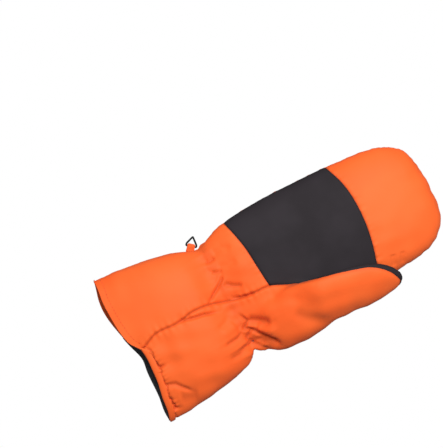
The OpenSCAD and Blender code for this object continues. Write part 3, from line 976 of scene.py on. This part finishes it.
def tube(name, path, radius):
    """A round bar along a closed path, as a mesh."""
    cu = bpy.data.curves.new(name, "CURVE")
    cu.dimensions, cu.bevel_depth, cu.bevel_resolution = "3D", radius * MM, 5
    sp = cu.splines.new("POLY")
    sp.points.add(len(path) - 1)
    for pt, q in zip(sp.points, path):
        pt.co = (*(np.array(q) * MM), 1)
    sp.use_cyclic_u = True
    tmp = bpy.data.objects.new(name, cu)
    bpy.context.scene.collection.objects.link(tmp)
    me = bpy.data.meshes.new_from_object(tmp.evaluated_get(bpy.context.evaluated_depsgraph_get()))
    bpy.data.objects.remove(tmp)
    me.name = name
    me.shade_smooth()
    ob = bpy.data.objects.new(name, me)
    bpy.context.scene.collection.objects.link(ob)
    return ob


def rounded(corners, cut_by, n=5):
    """A closed outline with its corners rounded."""
    out = []
    q = np.array(corners, float)
    for i in range(len(q)):
        a, b, c = q[i - 1], q[i], q[(i + 1) % len(q)]
        p0 = b + (a - b) / np.linalg.norm(a - b) * cut_by
        p2 = b + (c - b) / np.linalg.norm(c - b) * cut_by
        for t in np.linspace(0, 1, n):
            out.append((1 - t) ** 2 * p0 + 2 * t * (1 - t) * b + t * t * p2)
    return out


def webbing_loop():
    """The short flat loop of webbing that holds the hook's bar."""
    k = np.linspace(0, 2 * np.pi, 28, endpoint=False)
    c, s = np.cos(k), np.sin(k)
    rings = []
    for place, w, h in LOOP:
        side = w * np.sign(c) * np.abs(c) ** 0.6
        high = h * np.sign(s) * np.abs(s) ** 0.7
        rings.append(PIVOT + out_way * place + bar_way * side[:, None] + UP * high[:, None])
    return new_object("hook_loop", *loft_mesh(rings))


outline = rounded(HOOK_CORNERS, HOOK_CORNER)
hook = tube("hook", [PIVOT + hook_way * q[0] + bar_way * q[1] for q in outline], HOOK_RADIUS)
hook.data.materials.append(plastic)
tab = webbing_loop()
tab.data.materials.append(webbing)

# ---------------------------------------------------------------- the stitches that hold the turned hem

# a stitch's length, and the distance from one stitch to the next
STITCH, PITCH = 2.4, 3.3
HEM_STEPS = 700


def hem_line():
    """The line of stitches all round the cuff on the settled fabric, and the way out of the fabric there."""
    a = np.linspace(0, 2 * np.pi, HEM_STEPS, endpoint=False)
    y = body_point(np.full(HEM_STEPS, HEM_X + 5), a)[:, 1]
    top = np.sin(a) > 0
    puckered = top * step(1, -6, y)
    # on the puckered half this is the line of past_stitches
    start = body_point(hem_x(y, top) + 6 + puckered * (1.4 * ripple(y / 100, 22, 9) - 0.2), a)
    near = np.nonzero(fabric_base[:, 0] < -130)[0]
    tree = KDTree(len(near))
    for i, q in zip(near.tolist(), fabric_base[near]):
        tree.insert(q, i)
    tree.balance()
    line, out = [], []
    for q in start:
        found = tree.find_n(q, 8)
        ids = [i for _, i, _ in found]
        w = np.array([1 / (d + 0.3) for _, _, d in found])[:, None]
        line.append((fabric_v[ids] * w).sum(0) / w.sum())
        out.append((smooth_n[ids] * w).sum(0) / w.sum())
    ring_edges = np.stack([np.arange(HEM_STEPS), (np.arange(HEM_STEPS) + 1) % HEM_STEPS], 1)
    line, out = relax(line, ring_edges, 6), relax(out, ring_edges, 6)
    return line, out / np.linalg.norm(out, axis=1, keepdims=True)


def stitches(line, out):
    """Short threads along a closed line, each standing a little out of the fabric between its two holes."""
    run = np.concatenate([[0], np.cumsum(np.linalg.norm(np.diff(line, axis=0), axis=1))])

    def at(values, place):
        """The values at this distance along the line."""
        return np.array([np.interp(place, run, values[:, i]) for i in range(3)])

    wide, high = 0.34, 0.22
    verts, faces = [], []
    k = np.linspace(0, 2 * np.pi, 7, endpoint=False)[:, None]
    for first in np.arange(0, run[-1] - PITCH, PITCH):
        rings = []
        for t in (0, 0.12, 0.35, 0.65, 0.88, 1):
            place = first + t * STITCH
            mid, up = at(line, place), at(out, place)
            side = np.cross(up, at(line, place + 0.2) - mid)
            side /= np.linalg.norm(side)
            swell = math.sin(math.pi * (0.06 + 0.88 * t)) ** 0.5
            section = wide * np.cos(k) * side + high * np.sin(k) * up
            rings.append(mid + up * (wide * swell - high) + swell * section)
        v, f = loft_mesh(rings)
        faces += [tuple(i + len(verts) * len(v) for i in q) for q in f]
        verts.append(v)
    return np.concatenate(verts), faces


stitching = new_object("hem_stitching", *stitches(*hem_line()))
stitching.data.materials.append(thread)

# ---------------------------------------------------------------- camera and light

# in metres: the width that the camera sees on the table, and the middle of that
VIEW_WIDTH, VIEW_CENTRE = 0.4256, Vector((-0.0267, 0.0671, 0))
VIEW_TURN = math.radians(28)
KEY_PLACE, KEY_AIM = Vector((0.36, 0.42, 1.36)), Vector((0, 0, 0.02))
# in mm: half the floor's width, and how far it lies below the mitten
FLOOR_HALF, FLOOR_DROP = 3000, 0.4


def add_camera():
    """A camera straight above, turned as the mitten lies in the picture."""
    data = bpy.data.cameras.new("camera")
    data.lens, data.clip_end = 100, 20
    camera = bpy.data.objects.new("camera", data)
    bpy.context.scene.collection.objects.link(camera)
    bpy.context.scene.camera = camera
    right = Vector((math.cos(VIEW_TURN), -math.sin(VIEW_TURN), 0))
    up = Vector((math.sin(VIEW_TURN), math.cos(VIEW_TURN), 0))
    camera.location = VIEW_CENTRE + Vector((0, 0, VIEW_WIDTH * data.lens / data.sensor_width + 0.016))
    camera.rotation_mode = "QUATERNION"
    camera.rotation_quaternion = Matrix((right, up, Vector((0, 0, 1)))).transposed().to_quaternion()


def add_light():
    """One soft lamp, and an even white light from all around."""
    lamp = bpy.data.lights.new("key", "AREA")
    lamp.shape, lamp.size, lamp.energy = "DISK", 0.6, 24
    key = bpy.data.objects.new("key", lamp)
    key.location = KEY_PLACE
    key.rotation_mode = "QUATERNION"
    key.rotation_quaternion = (KEY_AIM - KEY_PLACE).to_track_quat("-Z", "Y")
    bpy.context.scene.collection.objects.link(key)
    world = bpy.data.worlds.new("white")
    bpy.context.scene.world = world
    world.use_nodes = True
    background = world.node_tree.nodes["Background"]
    background.inputs["Color"].default_value = (1, 1, 1, 1)
    background.inputs["Strength"].default_value = 0.2
    bpy.context.scene.view_settings.view_transform = "Standard"


def white_floor():
    """A plain white floor that takes no shadow."""
    reach, z = FLOOR_HALF, -FLOOR_DROP
    corners = [(-reach, -reach, z), (reach, -reach, z), (reach, reach, z), (-reach, reach, z)]
    floor = new_object("floor", corners, [(0, 1, 2, 3)], smooth=False)
    white = bpy.data.materials.new("white_floor")
    white.use_nodes = True
    tree = white.node_tree
    tree.nodes.clear()
    glow = node(tree, "ShaderNodeEmission", Strength=1.0)
    output = tree.nodes.new("ShaderNodeOutputMaterial")
    tree.links.new(glow.outputs[0], output.inputs[0])
    floor.data.materials.append(white)
    floor.visible_diffuse = floor.visible_glossy = floor.visible_shadow = False
    return floor


add_camera()
add_light()
floor = white_floor()

# ---------------------------------------------------------------- riding on the frame

# the fabric panels and the linings keep their place, baked into their points
for ob in (made["back_rear"], made["palm_heel_panel"], made["cuff_thumb_side_panel"], lining_rear):
    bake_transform(ob)
for ob in (made["back_front"], made["palm_patch_panel"], made["fingertip_panel"], lining_front):
    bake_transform(ob)
for ob in (made["thumb_outer_panel"], made["thumb_inner_panel"]):
    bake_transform(ob)
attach(hem, "cuff")
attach(tab, "cuff")
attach(stitching, "cuff")
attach(hook, "hook")

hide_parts("cuff_back_shell", "cuff_back_wadding", "hand_back_shell", "hand_back_wadding")
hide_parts("finger_back_shell", "finger_back_wadding")
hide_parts("cuff_palm_shell", "palm_heel_shell", "cuff_palm_wadding")
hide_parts("cuff_thumb_side_shell")
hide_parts("thumb_base_shell", "thumb_outer_shell", "thumb_wadding")
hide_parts("thumb_inner_shell", "thumb_membrane", "thumb_lining")
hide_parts("palm_patch", "hand_palm_wadding")
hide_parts("fingertip_panel_root", "fingertip_palm_shell", "finger_palm_wadding")
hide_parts("hem_band", "hem_facing", "wrist_elastic")
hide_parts("hook_tab")
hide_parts("pairing_hook")
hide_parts("cuff_lining", "hand_lining", "hand_membrane")
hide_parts("finger_lining", "finger_membrane")
